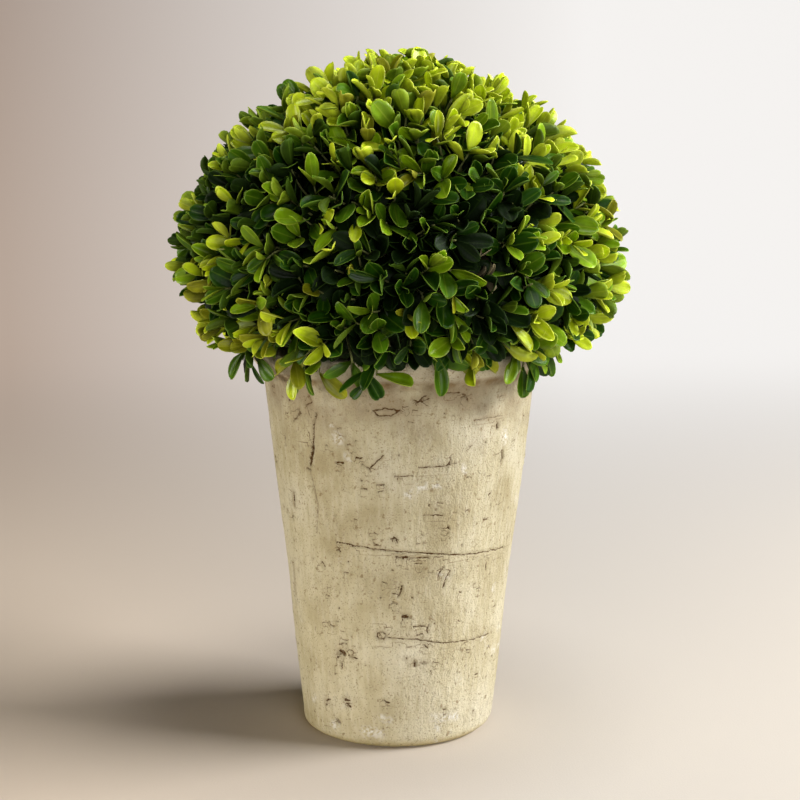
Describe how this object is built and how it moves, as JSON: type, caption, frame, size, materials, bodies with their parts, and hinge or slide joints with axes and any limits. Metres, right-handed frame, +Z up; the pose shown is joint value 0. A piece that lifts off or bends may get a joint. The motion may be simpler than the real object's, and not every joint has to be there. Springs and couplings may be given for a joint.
{
  "type": "potted boxwood topiary",
  "caption": "Clipped dome of boxwood on a short stem, in a tall tapered cement pot with a flared lip and a bark-like cast face.",
  "frame": {"origin": "centre of the pot's flat underside", "axes": "+Z up along the pot's height; -Y is the front of the pot, the side the picture shows; +X to the right of it"},
  "size_m": [0.2699, 0.2644, 0.4007],
  "materials": {
    "cast_cement": "matt cast cement, cream and buff, with the marks of birch bark",
    "potting_soil": "dark crumbly potting mix",
    "stem_bark": "fissured grey-brown bark",
    "box_leaf": "small leathery leaves, deep green to yellow-green, with a soft gloss"
  },
  "bodies": {
    "root": {"pot": "cast_cement", "soil": "potting_soil", "stem": "stem_bark", "crown_foliage": "box_leaf"}
  },
  "joints": []
}
